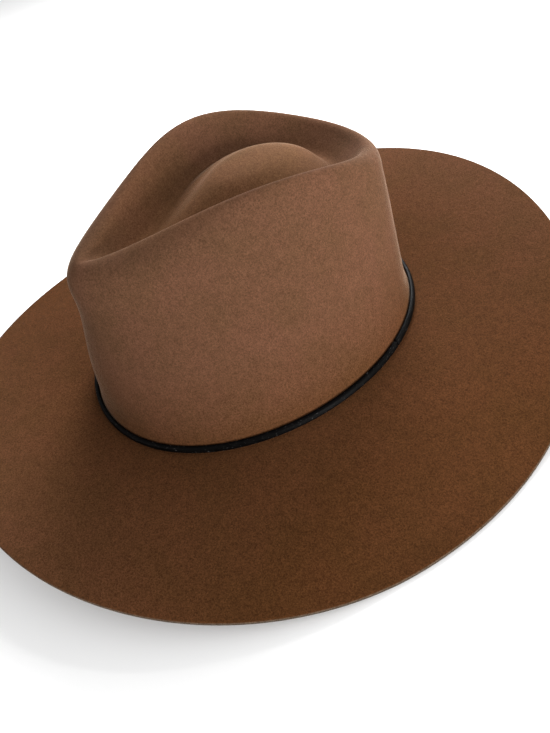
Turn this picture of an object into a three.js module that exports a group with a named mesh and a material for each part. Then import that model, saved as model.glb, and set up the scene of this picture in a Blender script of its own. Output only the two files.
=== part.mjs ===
// Wide-brim fedora of one piece of blocked felt, with a teardrop crown and a thin leather strap
// round the foot of the crown. Millimetres, +Z up. The front of the hat looks towards -Y and the
// wearer's left is +X. The hat stands on its brim: the origin is on that surface, under the
// middle of the hat's box.
import * as THREE from 'three';

// Driving dimensions
const FELT_THICKNESS = 2.2;
const FELT_FACETS_AROUND = 64;
const STRAP_HEIGHT = 3.3;
const STRAP_THICKNESS = 2.6;
const STRAP_CORNER_CUT = 0.7;
const STRAP_CLEARANCE = 0.4;
const STRAP_LIFT = 0.9;
const STRAP_JOINT_DEG = 117.5;
const STRAP_JOINT_GAP_DEG = 0.3;
const STRAP_FACETS_AROUND = 96;
const BOX_MIDDLE_Y = 1.9;

// Closed sections of the felt's outer face, from the middle of the crown's dome out to the brim's
// edge. front and back are y where the section crosses the middle of the hat. The half widths and
// the heights are taken round one side: at the front, a quarter forward, the side, a quarter back
// and the back. steps is the number of facets from this section to the next.
const SECTION_COLUMNS = [
  'front', 'back', 'halfFront', 'half', 'halfBack',
  'zFront', 'zFrontQuarter', 'zSide', 'zBackQuarter', 'zBack', 'steps',
];
const SECTIONS = {
  //            front   back  halfFr  half  halfBk    zFr   zFrQ  zSide   zBkQ    zBk  steps
  dome_apex:  [  25.0,  25.0,   0.0,   0.0,   0.0,  115.5, 115.5, 115.5, 115.5, 115.5, 1],
  dome_top:   [   9.0,  42.5,   9.0,  13.5,  10.0,  114.3, 114.3, 114.3, 114.3, 114.3, 1],
  dome_side:  [  -7.0,  57.5,  13.5,  24.0,  18.7,  108.9, 108.9, 109.7, 109.1, 109.1, 1],
  dome_foot:  [ -29.0,  67.0,  16.0,  32.0,  26.7,  100.8, 101.2, 105.2, 102.4, 100.8, 1],
  channel:    [ -50.0,  73.5,  15.5,  37.6,  33.0,   99.5,  98.8, 102.3,  97.8,  93.5, 1],
  inner_wall: [ -61.0,  81.0,  14.8,  40.7,  36.8,  104.8, 105.2, 111.5, 102.0,  95.0, 1],
  ridge_in:   [ -68.0,  88.5,  16.0,  43.2,  39.8,  109.0, 112.5, 122.6, 108.2,  98.7, 2],
  ridge:      [ -74.0,  94.0,  17.8,  48.0,  43.0,  111.3, 116.0, 127.5, 111.5, 101.0, 2],
  ridge_out:  [ -79.0,  98.5,  26.3,  52.5,  48.0,  110.8, 114.5, 122.5, 107.0,  97.5, 2],
  shoulder:   [ -86.0,  99.5,  33.5,  57.5,  50.5,  102.0, 104.5, 109.0,  97.0,  89.5, 1],
  wall_high:  [ -88.5, 100.0,  40.5,  64.5,  53.0,   82.5,  84.5,  89.5,  83.0,  79.0, 2],
  wall_mid:   [ -96.5, 101.5,  53.0,  76.5,  57.0,   51.0,  52.5,  54.5,  52.5,  51.0, 2],
  wall_low:   [-101.0, 102.5,  60.5,  85.0,  60.5,   27.5,  28.5,  29.5,  27.0,  25.5, 2],
  wall_foot:  [-103.0, 103.5,  63.5,  88.5,  62.5,   18.0,  19.5,  20.0,  17.5,  15.5, 1],
  brim_break: [-104.2, 104.5,  65.0,  90.7,  64.0,   12.9,  14.4,  14.9,  12.4,  10.4, 1],
  brim_start: [-108.5, 108.8,  68.2,  95.2,  67.2,   12.4,  13.3,  13.7,  11.7,  10.4, 1],
  brim_in:    [-128.0, 129.0,  83.5, 117.5,  82.5,   15.8,  13.7,  11.2,  12.4,  14.0, 2],
  brim_mid:   [-159.5, 162.0, 108.0, 152.0, 107.0,   20.8,  13.9,   6.3,  13.5,  20.4, 1],
  brim_rest:  [-183.5, 187.0, 126.8, 178.0, 125.2,   24.6,  14.0,   1.7,  14.2,  25.3, 1],
  brim_edge:  [-191.5, 195.3, 133.0, 186.8, 131.2,   25.9,  14.0,   1.0,  14.5,  26.9, 0],
};

const ROOT_HALF = Math.SQRT1_2;
const SPLINE_PASSES = 60;

function rowOf(values) {
  return Object.fromEntries(SECTION_COLUMNS.map((column, k) => [column, values[k]]));
}

function mixRows(rows, weights) {
  const mixed = {};
  for (const column of SECTION_COLUMNS) {
    mixed[column] = rows.reduce((sum, row, k) => sum + weights[k] * row[column], 0);
  }
  return mixed;
}

// The section one row past the apex is the first ring seen from the other side.
function turnedHalfway(row) {
  return {
    ...row,
    front: row.back, back: row.front,
    halfFront: -row.halfBack, half: -row.half, halfBack: -row.halfFront,
    zFront: row.zBack, zFrontQuarter: row.zBackQuarter,
    zBackQuarter: row.zFrontQuarter, zBack: row.zFront,
  };
}

// Control rows of the uniform cubic spline that passes through every section.
function splineControls(rows) {
  const last = rows.length - 1;
  const controls = rows.map((row) => ({ ...row }));
  for (let pass = 0; pass < SPLINE_PASSES; pass += 1) {
    for (let k = 0; k < last; k += 1) {
      const before = k === 0 ? turnedHalfway(controls[1]) : controls[k - 1];
      controls[k] = mixRows([rows[k], before, controls[k + 1]], [1.5, -0.25, -0.25]);
    }
  }
  const afterLast = mixRows([controls[last], controls[last - 1]], [2, -1]);
  return [turnedHalfway(controls[1]), ...controls, afterLast];
}

const sectionRows = Object.values(SECTIONS).map(rowOf);
const controlRows = splineControls(sectionRows);

function sectionAt(index, t) {
  const weights = [
    (1 - t) ** 3 / 6,
    (3 * t ** 3 - 6 * t ** 2 + 4) / 6,
    (-3 * t ** 3 + 3 * t ** 2 + 3 * t + 1) / 6,
    t ** 3 / 6,
  ];
  return mixRows(controlRows.slice(index, index + 4), weights);
}

// Heights given at five places round one side, as the cosine series through them.
function heightAt(row, angle) {
  const heights = [row.zFront, row.zFrontQuarter, row.zSide, row.zBackQuarter, row.zBack];
  const steps = heights.length - 1;
  const share = (k) => (k === 0 || k === steps ? 0.5 : 1);
  let z = 0;
  for (let wave = 0; wave <= steps; wave += 1) {
    let size = 0;
    heights.forEach((height, k) => {
      size += share(k) * height * Math.cos(wave * k * Math.PI / steps);
    });
    z += (2 / steps) * share(wave) * size * Math.cos(wave * angle);
  }
  return z;
}

// A point of a section. angle runs from the front (0) over the wearer's left (90) to the back.
function pointOn(row, angle) {
  const mean = (row.halfFront + row.halfBack) * ROOT_HALF;
  const lean = row.halfFront - row.halfBack;
  const waist = mean - row.half;
  const half = mean + lean * Math.cos(angle) + waist * Math.cos(2 * angle);
  const y = (row.front + row.back) / 2 - (row.back - row.front) / 2 * Math.cos(angle);
  return new THREE.Vector3(half * Math.sin(angle), y - BOX_MIDDLE_Y, heightAt(row, angle));
}

// The outer face's sections, each as a place along the table, with a facet or more per fold.
function feltPlaces() {
  const places = [];
  sectionRows.forEach((row, index) => {
    for (let step = 0; step < row.steps; step += 1) {
      places.push({ index, part: step / row.steps });
    }
  });
  places.push({ index: sectionRows.length - 2, part: 1 });
  return places;
}

function nudged(place, shift) {
  const whole = place.index + place.part + shift;
  const index = Math.min(sectionRows.length - 2, Math.max(0, Math.floor(whole)));
  return sectionAt(index, whole - index);
}

const NUDGE = 0.02;

function outwardNormal(place, angle) {
  const around = pointOn(nudged(place, 0), angle + NUDGE).sub(pointOn(nudged(place, 0), angle - NUDGE));
  const down = pointOn(nudged(place, NUDGE), angle).sub(pointOn(nudged(place, -NUDGE), angle));
  return down.cross(around).normalize();
}

// The felt: outer and inner face a thickness apart, flattened where the brim rests, and the raw
// cut edge between them. Both faces close in a fan at the apex.
function feltGeometry() {
  const count = FELT_FACETS_AROUND;
  const rings = feltPlaces().slice(1);
  const apex = pointOn(sectionAt(0, 0), 0);
  const outer = [apex];
  const inner = [apex.clone().setZ(apex.z - FELT_THICKNESS)];
  for (const place of rings) {
    const row = sectionAt(place.index, place.part);
    for (let k = 0; k < count; k += 1) {
      const angle = 2 * Math.PI * k / count;
      const skin = pointOn(row, angle);
      const under = skin.clone().addScaledVector(outwardNormal(place, angle), -FELT_THICKNESS);
      under.z = Math.max(under.z, 0);
      skin.z = Math.max(skin.z, FELT_THICKNESS);
      outer.push(skin);
      inner.push(under);
    }
  }
  const points = [...outer, ...inner];
  const innerStart = outer.length;
  const faces = [];
  const at = (ring, k) => 1 + ring * count + (k % count);
  for (let k = 0; k < count; k += 1) {
    faces.push([0, at(0, k), at(0, k + 1)]);
    faces.push([innerStart, innerStart + at(0, k + 1), innerStart + at(0, k)]);
    for (let ring = 0; ring + 1 < rings.length; ring += 1) {
      const corners = [at(ring, k), at(ring, k + 1), at(ring + 1, k), at(ring + 1, k + 1)];
      const [a, b, c, d] = corners;
      faces.push([a, c, d], [a, d, b]);
      const [e, f, g, h] = corners.map((corner) => innerStart + corner);
      faces.push([e, h, g], [e, f, h]);
    }
    const rim = rings.length - 1;
    const [a, b] = [at(rim, k), at(rim, k + 1)];
    faces.push([a, innerStart + a, innerStart + b], [a, innerStart + b, b]);
  }
  return meshGeometry(points, faces);
}

function meshGeometry(points, faces) {
  const geometry = new THREE.BufferGeometry();
  const coordinates = points.flatMap((point) => point.toArray());
  geometry.setAttribute('position', new THREE.Float32BufferAttribute(coordinates, 3));
  geometry.setIndex(faces.flat());
  geometry.computeVertexNormals();
  return geometry;
}

// An oval section moved outwards by a distance.
function grown(row, distance) {
  return {
    ...row,
    front: row.front - distance, back: row.back + distance,
    halfFront: row.halfFront + distance * ROOT_HALF,
    half: row.half + distance,
    halfBack: row.halfBack + distance * ROOT_HALF,
  };
}

// The crown wall's section a height above the brim's break, at every angle.
function wallAbove(height) {
  const foot = Object.keys(SECTIONS).indexOf('wall_foot');
  const rise = sectionRows[foot].zSide - sectionRows[foot + 1].zSide;
  if (height < rise) {
    return sectionAt(foot, 1 - height / rise);
  }
  const next = sectionRows[foot - 1].zSide - sectionRows[foot].zSide;
  return sectionAt(foot - 1, 1 - (height - rise) / next);
}

// The strap's cross section with cut corners: distances outwards and heights up the wall.
function strapSection() {
  const corner = STRAP_CORNER_CUT;
  const outside = STRAP_THICKNESS;
  const top = STRAP_HEIGHT;
  return [
    [corner, 0], [0, corner], [0, top - corner], [corner, top],
    [outside - corner, top], [outside, top - corner], [outside, corner], [outside - corner, 0],
  ];
}

// The strap goes once round, leans with the wall, and its two ends stop a gap apart.
function strapGeometry() {
  const section = strapSection();
  const sides = section.length;
  const start = THREE.MathUtils.degToRad(STRAP_JOINT_DEG + STRAP_JOINT_GAP_DEG / 2);
  const sweep = THREE.MathUtils.degToRad(360 - STRAP_JOINT_GAP_DEG);
  const points = [];
  for (let k = 0; k <= STRAP_FACETS_AROUND; k += 1) {
    const angle = start + sweep * k / STRAP_FACETS_AROUND;
    for (const [distance, height] of section) {
      points.push(pointOn(grown(wallAbove(STRAP_LIFT + height), STRAP_CLEARANCE + distance), angle));
    }
  }
  const faces = [];
  for (let here = 0; here < sides * STRAP_FACETS_AROUND; here += sides) {
    for (let side = 0; side < sides; side += 1) {
      const [a, b] = [here + side, here + (side + 1) % sides];
      faces.push([a, b, b + sides], [a, b + sides, a + sides]);
    }
  }
  const last = sides * STRAP_FACETS_AROUND;
  for (let side = 1; side + 1 < sides; side += 1) {
    faces.push([0, side + 1, side], [last, last + side, last + side + 1]);
  }
  return meshGeometry(points, faces);
}

const feltMaterial = new THREE.MeshStandardMaterial({ color: 0x6f4a30, roughness: 0.95, metalness: 0 });
const leatherMaterial = new THREE.MeshStandardMaterial({ color: 0x15120f, roughness: 0.45, metalness: 0 });

const felt = new THREE.Mesh(feltGeometry(), feltMaterial);
felt.name = 'felt_body';

const strap = new THREE.Mesh(strapGeometry(), leatherMaterial);
strap.name = 'leather_band';

const hat = new THREE.Group();
hat.add(felt, strap);

export default hat;
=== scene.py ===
import math

import bpy
import numpy as np
from mathutils import Matrix, Vector


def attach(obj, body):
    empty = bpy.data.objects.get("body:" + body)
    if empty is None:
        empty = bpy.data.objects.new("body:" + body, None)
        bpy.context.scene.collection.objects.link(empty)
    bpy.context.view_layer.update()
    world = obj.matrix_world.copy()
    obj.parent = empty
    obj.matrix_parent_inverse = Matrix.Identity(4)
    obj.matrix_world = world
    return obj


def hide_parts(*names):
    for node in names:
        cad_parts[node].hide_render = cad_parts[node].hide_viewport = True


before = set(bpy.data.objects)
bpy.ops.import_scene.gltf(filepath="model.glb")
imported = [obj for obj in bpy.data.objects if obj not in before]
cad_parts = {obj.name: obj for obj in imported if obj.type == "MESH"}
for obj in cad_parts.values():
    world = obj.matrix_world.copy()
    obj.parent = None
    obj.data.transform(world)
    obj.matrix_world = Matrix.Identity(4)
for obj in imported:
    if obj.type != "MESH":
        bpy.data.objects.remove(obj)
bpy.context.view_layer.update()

# Sizes. They are in millimetres wherever a name or a comment doesn't say otherwise.
MM = 0.001
BOX_MIDDLE_Y = 1.9
FELT_THICKNESS = 2.2
FELT_EDGE_ROUND = 0.45
STRAP_HEIGHT = 3.3
STRAP_THICKNESS = 2.6
STRAP_CORNER_ROUND = 1.1
STRAP_END_ROUND = 0.3
STRAP_END_ROUND_DEG = 0.2
STRAP_CLEARANCE = 0.4
STRAP_LIFT = 0.9
STRAP_JOINT_DEG = 117.5
STRAP_JOINT_GAP_DEG = 0.3
FLOOR_HALF_SIDE = 6000.0

# Painted light: a paler, warmer painted pool of light fills the dent, an oval about this y of the
# frame, and painted sheen and light make the felt lighter and greyer with height up to TONE_HEIGHT
DENT_MIDDLE_Y = 8.1
DENT_HALF_WIDTH = 48.0
DENT_HALF_LENGTH = 84.0
TONE_HEIGHT = 120.0

# How finely the felt and the strap are divided on their way round, and the strap's corners
FELT_AROUND = 288
STRAP_AROUND = 420
STRAP_CORNER_STEPS = 6

# The attribute that marks the brim's cut edge, and its values at the upper and the lower corner
EDGE_ATTRIBUTE = "cut_edge"
UPPER_CORNER = 0.5
LOWER_CORNER = 1.0

# The camera, worked out from the brim's outline, the strap and the crown's outlines. Pixels are
# in the photograph's frame of 550 by 733. CAMERA_SHIFT says how far the zero point of the
# sections lies to the right of the camera, above it and ahead of it.
PHOTO_LONG_SIDE_PX = 733
FOCAL_LENGTH_PX = 650.0
SENSOR_WIDTH = 36.0
CAMERA_AZIMUTH_DEG = 69.9
CAMERA_ELEVATION_DEG = 45.2
CAMERA_ROLL_DEG = -19.0
CAMERA_SHIFT = (-11.0, 18.2, 422.0)
CAMERA_NEAR_LIMIT = 10.0

# Square lights that look at a point above the middle of the floor. Distance and size are in
# metres, power is in watts, and azimuth 0 stands in front (-Y) and 90 on +X.
LIGHTS_LOOK_AT_HEIGHT = 60.0
WORLD_STRENGTH = 0.67
LIGHTS = {
    #              azimuth  elevation  distance  size  power
    "right_low":  (  100.0,       5.0,      1.6,  0.6,  33.0),
    "back_right": (  135.0,      15.0,      1.6,  1.1,  11.0),
    "back":       (  180.0,      15.0,      1.6,  1.1,   8.8),
    "back_left":  (  225.0,      30.0,      0.8,  0.4,  13.2),
    "front_low":  (   -5.0,       4.0,      1.6,  0.5,   6.0),
}

# Closed sections of the felt's outer face, from the middle of the crown's dome to the brim's edge:
# y at the front and back, half widths a quarter forward, at the side and a quarter back, heights
# at the front, a quarter forward, the side, a quarter back and the back, and the rows of mesh
# from this section to the next. The frame's y is the table's less BOX_MIDDLE_Y.
SECTIONS = {
    #              front    back  halfFr    half  halfBk     zFr    zFrQ   zSide    zBkQ     zBk  rows
    "dome_apex":  (  25.0,   25.0,    0.0,    0.0,    0.0,  115.5,  115.5,  115.5,  115.5,  115.5,   8),
    "dome_top":   (   9.0,   42.5,    9.0,   13.5,   10.0,  114.3,  114.3,  114.3,  114.3,  114.3,   6),
    "dome_side":  (  -7.0,   57.5,   13.5,   24.0,   18.7,  108.9,  108.9,  109.7,  109.1,  109.1,   6),
    "dome_foot":  ( -29.0,   67.0,   16.0,   32.0,   26.7,  100.8,  101.2,  105.2,  102.4,  100.8,   6),
    "channel":    ( -50.0,   73.5,   15.5,   37.6,   33.0,   99.5,   98.8,  102.3,   97.8,   93.5,   6),
    "inner_wall": ( -61.0,   81.0,   14.8,   40.7,   36.8,  104.8,  105.2,  111.5,  102.0,   95.0,   6),
    "ridge_in":   ( -68.0,   88.5,   16.0,   43.2,   39.8,  109.0,  112.5,  122.6,  108.2,   98.7,   6),
    "ridge":      ( -74.0,   94.0,   17.8,   48.0,   43.0,  111.3,  116.0,  127.5,  111.5,  101.0,   6),
    "ridge_out":  ( -79.0,   98.5,   26.3,   52.5,   48.0,  110.8,  114.5,  122.5,  107.0,   97.5,   6),
    "shoulder":   ( -86.0,   99.5,   33.5,   57.5,   50.5,  102.0,  104.5,  109.0,   97.0,   89.5,   6),
    "wall_high":  ( -88.5,  100.0,   40.5,   64.5,   53.0,   82.5,   84.5,   89.5,   83.0,   79.0,   9),
    "wall_mid":   ( -96.5,  101.5,   53.0,   76.5,   57.0,   51.0,   52.5,   54.5,   52.5,   51.0,   7),
    "wall_low":   (-101.0,  102.5,   60.5,   85.0,   60.5,   27.5,   28.5,   29.5,   27.0,   25.5,   5),
    "wall_foot":  (-103.0,  103.5,   63.5,   88.5,   62.5,   18.0,   19.5,   20.0,   17.5,   15.5,   5),
    "brim_break": (-104.2,  104.5,   65.0,   90.7,   64.0,   12.9,   14.4,   14.9,   12.4,   10.4,   5),
    "brim_start": (-108.5,  108.8,   68.2,   95.2,   67.2,   12.4,   13.3,   13.7,   11.7,   10.4,   6),
    "brim_in":    (-128.0,  129.0,   83.5,  117.5,   82.5,   15.8,   13.7,   11.2,   12.4,   14.0,   9),
    "brim_mid":   (-159.5,  162.0,  108.0,  152.0,  107.0,   20.8,   13.9,    6.3,   13.5,   20.4,   8),
    "brim_rest":  (-183.5,  187.0,  126.8,  178.0,  125.2,   24.6,   14.0,    1.7,   14.2,   25.3,   4),
    "brim_edge":  (-191.5,  195.3,  133.0,  186.8,  131.2,   25.9,   14.0,    1.0,   14.5,   26.9,   0),
}
PLAN_COLUMNS = 5
SIDE_HEIGHT_COLUMN = 7
ROWS_COLUMN = 10
SECTION_NAMES = list(SECTIONS)
TABLE = np.array([row[:ROWS_COLUMN] for row in SECTIONS.values()])
MESH_ROWS = [row[ROWS_COLUMN] for row in SECTIONS.values()]
SIDE_HEIGHTS = TABLE[:, SIDE_HEIGHT_COLUMN]

# The half widths a quarter forward and a quarter back are taken at 45 degrees
SIN_45_DEG = math.sqrt(0.5)


def turned_halfway(row):
    """The section one row past the apex is the first ring seen from the other side."""
    front, back, half_front, half, half_back, *heights = row
    return np.array([back, front, -half_back, -half, -half_front, *reversed(heights)])


def spline_controls(rows):
    """Control rows of the uniform cubic spline that passes through every section, found by
    going over the rows again and again until they no longer change."""
    passes = 60
    controls = rows.copy()
    for _ in range(passes):
        for k in range(len(rows) - 1):
            before = turned_halfway(controls[1]) if k == 0 else controls[k - 1]
            controls[k] = 1.5 * rows[k] - 0.25 * before - 0.25 * controls[k + 1]
    after_last = 2 * controls[-1] - controls[-2]
    return np.vstack([turned_halfway(controls[1]), controls, after_last])


CONTROLS = spline_controls(TABLE)


def sections_at(places):
    """Rows of section values at fractional places along the table."""
    places = np.clip(np.asarray(places, float), 0, len(TABLE) - 1)
    index = np.minimum(places.astype(int), len(TABLE) - 2)
    t = (places - index)[:, None]
    weights = (
        (1 - t) ** 3,
        3 * t ** 3 - 6 * t ** 2 + 4,
        -3 * t ** 3 + 3 * t ** 2 + 3 * t + 1,
        t ** 3,
    )
    return sum(weight * CONTROLS[index + k] for k, weight in enumerate(weights)) / 6


def heights_at(rows, angles):
    """Heights given at five places round one side, as the cosine series through them."""
    steps = 4
    share = np.array([0.5, 1, 1, 1, 0.5])
    k = np.arange(steps + 1)
    waves = np.cos(np.outer(k, k) * math.pi / steps) * share * share[:, None] * 2 / steps
    return rows[:, PLAN_COLUMNS:] @ waves.T @ np.cos(np.outer(k, angles))


def points_on(rows, angles):
    """Points of sections, in mm. Angles run from the front over the wearer's left to the back."""
    front, back, half_front, half, half_back = (rows[:, k, None] for k in range(PLAN_COLUMNS))
    mean = (half_front + half_back) * SIN_45_DEG
    widths = mean + (half_front - half_back) * np.cos(angles) + (mean - half) * np.cos(2 * angles)
    x = widths * np.sin(angles)
    y = (front + back) / 2 - (back - front) / 2 * np.cos(angles) - BOX_MIDDLE_Y
    return np.stack([x, y, heights_at(rows, angles)], -1)


def normals_on(places, angles):
    """Outward unit normals of the felt's outer face."""
    nudge = 0.02
    places = np.asarray(places, float)
    rows = sections_at(places)
    rows_before = sections_at(places - nudge)
    rows_after = sections_at(places + nudge)
    around = points_on(rows, angles + nudge) - points_on(rows, angles - nudge)
    down = points_on(rows_after, angles) - points_on(rows_before, angles)
    normal = np.cross(down, around)
    return normal / np.linalg.norm(normal, axis=-1, keepdims=True)


def mesh_object(name, points_mm, faces, material, smooth=True):
    """A mesh in the scene, of points in mm and faces of point numbers."""
    mesh = bpy.data.meshes.new(name)
    mesh.from_pydata([tuple(point) for point in np.asarray(points_mm) * MM], [], faces)
    mesh.materials.append(material)
    mesh.polygons.foreach_set("use_smooth", [smooth] * len(mesh.polygons))
    mesh.update()
    piece = bpy.data.objects.new(name, mesh)
    bpy.context.collection.objects.link(piece)
    return piece


def ring_faces(rings, count):
    """Four-sided faces between neighbouring closed rings of count points each."""
    faces = []
    for here in range(0, (rings - 1) * count, count):
        for k in range(count):
            nxt = (k + 1) % count
            faces.append((here + k, here + count + k, here + count + nxt, here + nxt))
    return faces


# Materials. A colour is three linear numbers.
class Nodes:
    """Adds nodes to a material and joins them. A value is an output, a number or a colour."""

    # Sockets of a Mix node that is set to colours
    MIX_FACTOR = 0
    MIX_FIRST = 6
    MIX_SECOND = 7
    MIX_RESULT = 2

    def __init__(self, name):
        self.material = bpy.data.materials.new(name)
        self.material.use_nodes = True
        self.tree = self.material.node_tree
        self.shader = self.tree.nodes["Principled BSDF"]

    def add(self, kind, **values):
        """A new node, with its sockets or settings of those names set."""
        node = self.tree.nodes.new(kind)
        for key, value in values.items():
            if key in node.inputs:
                node.inputs[key].default_value = value
            else:
                setattr(node, key, value)
        return node

    def put(self, value, socket):
        """Joins an output to a socket, or sets the socket to a number or a colour."""
        if isinstance(value, bpy.types.NodeSocket):
            self.tree.links.new(value, socket)
        elif isinstance(value, tuple):
            socket.default_value = (*value, 1.0)
        else:
            socket.default_value = value

    def surface(self, values):
        """Puts values on sockets of the surface's shader, by name."""
        for name, value in values.items():
            self.put(value, self.shader.inputs[name])

    def place(self):
        """The point's place on the object, in metres."""
        return self.add("ShaderNodeTexCoord").outputs["Object"]

    def height(self, place):
        node = self.add("ShaderNodeSeparateXYZ")
        self.put(place, node.inputs["Vector"])
        return node.outputs["Z"]

    def oval_radius(self, place, middle_y, half_width, half_length):
        """Distance from an upright axis in the hat's middle plane, 1 on the oval of those sizes."""
        shares = self.add("ShaderNodeVectorMath", operation="MULTIPLY_ADD")
        vector, factors, addends = shares.inputs[:3]
        self.put(place, vector)
        factors.default_value = (1 / (half_width * MM), 1 / (half_length * MM), 0.0)
        addends.default_value = (0.0, -middle_y / half_length, 0.0)
        length = self.add("ShaderNodeVectorMath", operation="LENGTH")
        self.put(shares.outputs["Vector"], length.inputs[0])
        return length.outputs["Value"]

    def noise(self, place, scale, detail, roughness, distortion=0.0):
        node = self.add("ShaderNodeTexNoise", Scale=scale, Detail=detail, Roughness=roughness,
                        Distortion=distortion)
        self.put(place, node.inputs["Vector"])
        return node.outputs["Fac"]

    def remap(self, value, low, high, to_low, to_high):
        """The value, moved from the range low to high into the range to_low to to_high."""
        node = self.add("ShaderNodeMapRange")
        ranges = {"From Min": low, "From Max": high, "To Min": to_low, "To Max": to_high}
        self.put(value, node.inputs["Value"])
        for key, number in ranges.items():
            self.put(number, node.inputs[key])
        return node.outputs["Result"]

    def share(self, value, low, high):
        """0 up to low, 1 from high, and even in between."""
        return self.remap(value, low, high, 0.0, 1.0)

    def ramp(self, value, stops):
        """Colours at places between 0 and 1, even in between."""
        node = self.add("ShaderNodeValToRGB")
        elements = node.color_ramp.elements
        while len(elements) < len(stops):
            elements.new(0.5)
        for element, (place, colour) in zip(elements, stops):
            element.position = place
            element.color = (*colour, 1.0)
        self.put(value, node.inputs["Fac"])
        return node.outputs["Color"]

    def mix(self, factor, first, second, blend="MIX"):
        node = self.add("ShaderNodeMix", data_type="RGBA", blend_type=blend)
        self.put(factor, node.inputs[self.MIX_FACTOR])
        self.put(first, node.inputs[self.MIX_FIRST])
        self.put(second, node.inputs[self.MIX_SECOND])
        return node.outputs[self.MIX_RESULT]

    def tinted(self, colour, tint, share=1.0):
        """The colour times a tint, in full or by a share."""
        return self.mix(share, colour, tint, "MULTIPLY")

    def bump(self, height, strength, distance_mm, normal=None):
        node = self.add("ShaderNodeBump", Strength=strength, Distance=distance_mm * MM)
        self.put(height, node.inputs["Height"])
        if normal is not None:
            self.put(normal, node.inputs["Normal"])
        return node.outputs["Normal"]


def felt_material():
    """Felt with painted light: painted sheen and light make the crown lighter and greyer than the
    more saturated brim, and a painted pool of light makes the dent paler and warmer. It has broad
    warm and olive drifts, small blotches and a grain of short matted fibres. The cut edge has pale
    fibres along its upper corner and darkens to near black towards its lower corner."""
    nodes = Nodes("felt")
    place = nodes.place()

    height = nodes.share(nodes.height(place), 0.0, TONE_HEIGHT * MM)
    # Painted sheen and light: the felt gets lighter and greyer with height, from the saturated brim up
    # to the crown
    tone_with_painted_light = nodes.ramp(height, [
        (0.07, (0.0790, 0.0306, 0.0101)),
        (0.25, (0.0968, 0.0426, 0.0200)),
        (0.50, (0.1064, 0.0497, 0.0264)),
        (0.95, (0.1071, 0.0522, 0.0284)),
    ])
    # Painted light: a paler, warmer painted pool of light over the oval of the crown's dent
    dent_radius = nodes.oval_radius(place, DENT_MIDDLE_Y, DENT_HALF_WIDTH, DENT_HALF_LENGTH)
    in_dent = nodes.remap(dent_radius, low=0.55, high=0.95, to_low=1.0, to_high=0.0)
    dent_painted_light = (1.24, 1.21, 1.03)
    tone_with_painted_light = nodes.mix(in_dent, tone_with_painted_light, nodes.tinted(tone_with_painted_light, dent_painted_light))

    drift = nodes.noise(place, scale=38.0, detail=2.0, roughness=0.5)
    warm, olive = (1.035, 1.0, 1.02), (0.935, 0.945, 0.90)
    drifted = nodes.mix(nodes.share(drift, 0.36, 0.64), warm, olive)

    cloud = nodes.noise(place, scale=230.0, detail=3.0, roughness=0.6)
    blotch, clear = (0.87, 0.865, 0.85), (1.03, 1.03, 1.03)
    clouded = nodes.mix(nodes.share(cloud, 0.34, 0.66), blotch, clear)

    grain = nodes.noise(place, scale=1250.0, detail=2.0, roughness=0.6, distortion=1.0)
    grain_share = nodes.share(grain, 0.36, 0.64)
    hollow, fibre = (0.57, 0.55, 0.52), (1.16, 1.16, 1.16)
    grained = nodes.mix(grain_share, hollow, fibre)

    texture_share = nodes.remap(height, low=0.1, high=0.4, to_low=1.0, to_high=0.8)
    colour = nodes.tinted(tone_with_painted_light, drifted)
    for layer in (clouded, grained):
        colour = nodes.tinted(colour, layer, texture_share)

    edge = nodes.add("ShaderNodeAttribute", attribute_name=EDGE_ATTRIBUTE).outputs["Fac"]
    # The cut edge: pale fibres along its upper corner, darkening to near black towards its lower corner
    pale = nodes.mix(grain_share, (0.046, 0.029, 0.017), (0.120, 0.090, 0.064))
    dark = nodes.mix(grain, (0.016, 0.010, 0.007), (0.070, 0.052, 0.040))
    fibres = nodes.mix(nodes.share(edge, UPPER_CORNER, 0.75), pale, dark)

    soft_bump = nodes.bump(cloud, strength=0.15, distance_mm=1.2)
    nodes.surface({
        "Base Color": nodes.mix(nodes.share(edge, 0.0, 0.4), colour, fibres),
        "Roughness": 0.95,
        "Specular IOR Level": 0.05,
        "Sheen Weight": 0.35,
        "Sheen Roughness": 0.18,
        "Sheen Tint": (0.90, 0.68, 0.50),
        "Normal": nodes.bump(grain, strength=0.30, distance_mm=0.5, normal=soft_bump),
    })
    return nodes.material


def leather_material():
    """Black leather: fine pebbled grain whose high spots are smoother and carry painted glints, rubbed
    paler in places.
    """
    nodes = Nodes("leather")
    place = nodes.place()
    pebbles = nodes.noise(place, scale=900.0, detail=3.0, roughness=0.65)
    worn = nodes.noise(place, scale=160.0, detail=2.0, roughness=0.5)
    colour = nodes.ramp(worn, [
        (0.30, (0.0008, 0.0007, 0.0007)),
        (0.75, (0.0024, 0.0021, 0.0020)),
    ])
    # Painted highlight: the pebbles' high spots get a paler colour, painted glints, besides their lower
    # roughness
    painted_glint = (0.060, 0.056, 0.054)
    nodes.surface({
        "Base Color": nodes.mix(nodes.share(pebbles, 0.64, 0.72), colour, painted_glint),
        "Roughness": nodes.remap(pebbles, low=0.35, high=0.70, to_low=0.50, to_high=0.34),
        "Specular IOR Level": 0.03,
        "Normal": nodes.bump(pebbles, strength=0.5, distance_mm=0.4),
    })
    return nodes.material


def floor_material():
    nodes = Nodes("floor")
    nodes.surface({"Base Color": (0.92, 0.92, 0.92), "Roughness": 0.9})
    return nodes.material


FELT = felt_material()
LEATHER = leather_material()


# The felt: one piece, crown and brim, with a raw cut edge
def felt_places():
    """Places along the table of the mesh's rings, from the first past the apex to the edge."""
    places = [index + step / rows for index, rows in enumerate(MESH_ROWS) for step in range(rows)]
    return np.array(places[1:] + [len(TABLE) - 1.0])


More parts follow.
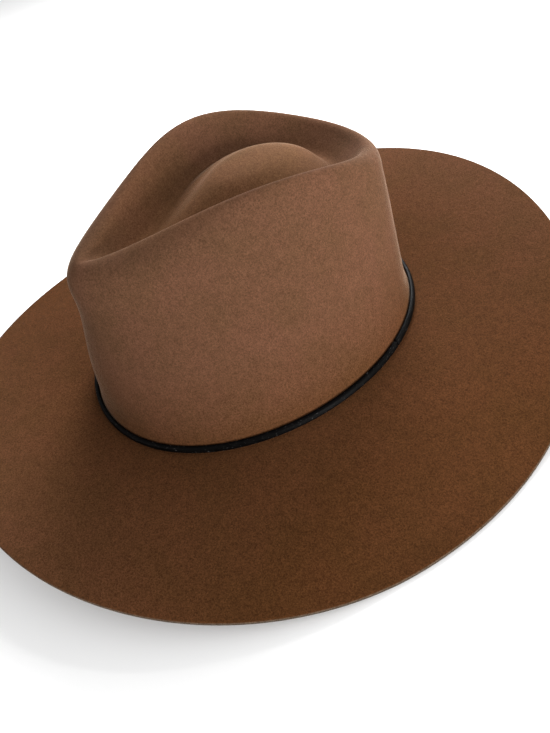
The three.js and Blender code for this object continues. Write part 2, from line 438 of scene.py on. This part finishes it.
def felt_piece():
    """The outer face from the apex to the brim's edge, the cut edge with its two corners rounded,
    and the inner face back to the apex. Where the brim rests it is flat on the floor."""
    places = felt_places()
    angles = np.arange(FELT_AROUND) * 2 * math.pi / FELT_AROUND
    skin = points_on(sections_at(places), angles)
    under = skin - FELT_THICKNESS * normals_on(places, angles)
    under[..., 2] = np.maximum(under[..., 2], 0)
    skin[..., 2] = np.maximum(skin[..., 2], FELT_THICKNESS)

    outward = skin[-1] - skin[-2]
    outward /= np.linalg.norm(outward, axis=-1, keepdims=True)
    through = (under[-1] - skin[-1]) / FELT_THICKNESS
    upper_corner = skin[-1] + through * FELT_EDGE_ROUND
    lower_corner = under[-1] - through * FELT_EDGE_ROUND
    skin[-1] -= outward * FELT_EDGE_ROUND
    under[-1] -= outward * FELT_EDGE_ROUND

    shell = np.concatenate([skin, [upper_corner, lower_corner], under[::-1]])
    apex = points_on(sections_at([0.0]), np.zeros(1))[0, 0]
    points = np.vstack([shell.reshape(-1, 3), apex, apex - (0, 0, FELT_THICKNESS)])
    faces = ring_faces(len(shell), FELT_AROUND)
    outer_apex, inner_apex = len(points) - 2, len(points) - 1
    last = (len(shell) - 1) * FELT_AROUND
    for k in range(FELT_AROUND):
        nxt = (k + 1) % FELT_AROUND
        faces.append((outer_apex, k, nxt))
        faces.append((inner_apex, last + nxt, last + k))
    felt = mesh_object("felt_hat", points, faces, FELT)

    on_edge = np.zeros(len(points))
    upper = len(skin) * FELT_AROUND
    lower = upper + FELT_AROUND
    on_edge[upper:lower] = UPPER_CORNER
    on_edge[lower:lower + FELT_AROUND] = LOWER_CORNER
    attribute = felt.data.attributes.new(EDGE_ATTRIBUTE, "FLOAT", "POINT")
    attribute.data.foreach_set("value", on_edge)
    return felt


# The strap: a rounded leather lace that goes once round, its ends butted at the wearer's back left
def grown(rows, distance):
    """Section rows that lie a distance further out."""
    outwards = np.array([-1, 1, SIN_45_DEG, 1, SIN_45_DEG])
    rows = rows.copy()
    rows[:, :PLAN_COLUMNS] += distance * outwards
    return rows


def wall_place(height):
    """The place along the table of a height above the brim's break, measured at the side."""
    foot = SECTION_NAMES.index("wall_foot")
    rise = SIDE_HEIGHTS[foot] - SIDE_HEIGHTS[foot + 1]
    if height < rise:
        return foot + 1 - height / rise
    return foot - (height - rise) / (SIDE_HEIGHTS[foot - 1] - SIDE_HEIGHTS[foot])


def strap_section(inset):
    """The lace's rounded cross section: distances outwards and shares of its height."""
    bend_round = STRAP_CORNER_ROUND - inset
    half = STRAP_HEIGHT / 2 - STRAP_CORNER_ROUND
    reach = STRAP_THICKNESS - 2 * STRAP_CORNER_ROUND
    quarter_turn_deg = 90
    # Corners: 1 on the outer face or 0 on the inner, -1 low or 1 high, and the first angle
    corners = ((1, -1, -90), (1, 1, 0), (0, 1, 90), (0, -1, 180))
    section = []
    for outside, side, first_deg in corners:
        for step in range(STRAP_CORNER_STEPS):
            bend_deg = first_deg + step * quarter_turn_deg / (STRAP_CORNER_STEPS - 1)
            bend = math.radians(bend_deg)
            out = STRAP_CORNER_ROUND + outside * reach + bend_round * math.cos(bend)
            up = side * half + bend_round * math.sin(bend)
            section.append((out, up / STRAP_HEIGHT + 0.5))
    return section


def strap_piece():
    """The lace's cross section at every step round the crown, with a smaller one at both ends."""
    start = STRAP_JOINT_DEG + STRAP_JOINT_GAP_DEG / 2
    stop = start + 360 - STRAP_JOINT_GAP_DEG
    body = np.linspace(start + STRAP_END_ROUND_DEG, stop - STRAP_END_ROUND_DEG, STRAP_AROUND)
    rings = [(start, STRAP_END_ROUND), *((angle, 0.0) for angle in body), (stop, STRAP_END_ROUND)]
    low = sections_at([wall_place(STRAP_LIFT)])
    high = sections_at([wall_place(STRAP_LIFT + STRAP_HEIGHT)])
    points = []
    for angle, inset in rings:
        for out, share in strap_section(inset):
            row = grown(low * (1 - share) + high * share, STRAP_CLEARANCE + out)
            points.append(points_on(row, np.array([math.radians(angle)]))[0, 0])
    sides = len(points) // len(rings)
    last = len(points) - sides
    ends = [tuple(range(sides)), tuple(range(len(points) - 1, last - 1, -1))]
    return mesh_object("strap", points, ends + ring_faces(len(rings), sides), LEATHER)


felt = felt_piece()
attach(felt, "root")
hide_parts("felt_body")

strap = strap_piece()
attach(strap, "root")
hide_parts("leather_band")


# Floor, light and camera
def floor_piece():
    side = FLOOR_HALF_SIDE
    corners = [(-side, -side, 0), (side, -side, 0), (side, side, 0), (-side, side, 0)]
    floor = mesh_object("floor", corners, [(0, 1, 2, 3)], floor_material(), smooth=False)


def direction_of(azimuth_deg, elevation_deg):
    """Unit vector from the hat towards a light or the camera."""
    azimuth, elevation = math.radians(azimuth_deg), math.radians(elevation_deg)
    return Vector((
        math.sin(azimuth) * math.cos(elevation),
        -math.cos(azimuth) * math.cos(elevation),
        math.sin(elevation),
    ))


def area_light(name, azimuth_deg, elevation_deg, distance, size, power):
    direction = direction_of(azimuth_deg, elevation_deg)
    data = bpy.data.lights.new(name, "AREA")
    data.size = size
    data.energy = power
    light = bpy.data.objects.new(name, data)
    light.location = direction * distance + Vector((0, 0, LIGHTS_LOOK_AT_HEIGHT * MM))
    light.rotation_euler = direction.to_track_quat("Z", "Y").to_euler()
    bpy.context.collection.objects.link(light)


def world_light(strength):
    world = bpy.data.worlds.new("studio")
    world.use_nodes = True
    background = world.node_tree.nodes["Background"]
    background.inputs["Color"].default_value = (1.0, 1.0, 1.0, 1.0)
    background.inputs["Strength"].default_value = strength
    bpy.context.scene.world = world


def camera():
    back = direction_of(CAMERA_AZIMUTH_DEG, CAMERA_ELEVATION_DEG)
    azimuth, roll = math.radians(CAMERA_AZIMUTH_DEG), math.radians(CAMERA_ROLL_DEG)
    level = Vector((math.cos(azimuth), math.sin(azimuth), 0))
    upright = back.cross(level)
    right = level * math.cos(roll) + upright * math.sin(roll)
    up = upright * math.cos(roll) - level * math.sin(roll)
    shift_x, shift_y, distance = CAMERA_SHIFT
    middle = Vector((0, BOX_MIDDLE_Y, 0))
    place = (back * distance - right * shift_x - up * shift_y - middle) * MM
    data = bpy.data.cameras.new("camera")
    data.sensor_width = SENSOR_WIDTH
    data.lens = FOCAL_LENGTH_PX * SENSOR_WIDTH / PHOTO_LONG_SIDE_PX
    data.clip_start = CAMERA_NEAR_LIMIT * MM
    eye = bpy.data.objects.new("camera", data)
    eye.matrix_world = Matrix.Translation(place) @ Matrix((right, up, back)).transposed().to_4x4()
    bpy.context.collection.objects.link(eye)
    bpy.context.scene.camera = eye


floor_piece()
for light_name, light_values in LIGHTS.items():
    area_light(light_name, *light_values)
world_light(WORLD_STRENGTH)
camera()
bpy.context.scene.view_settings.view_transform = "Standard"
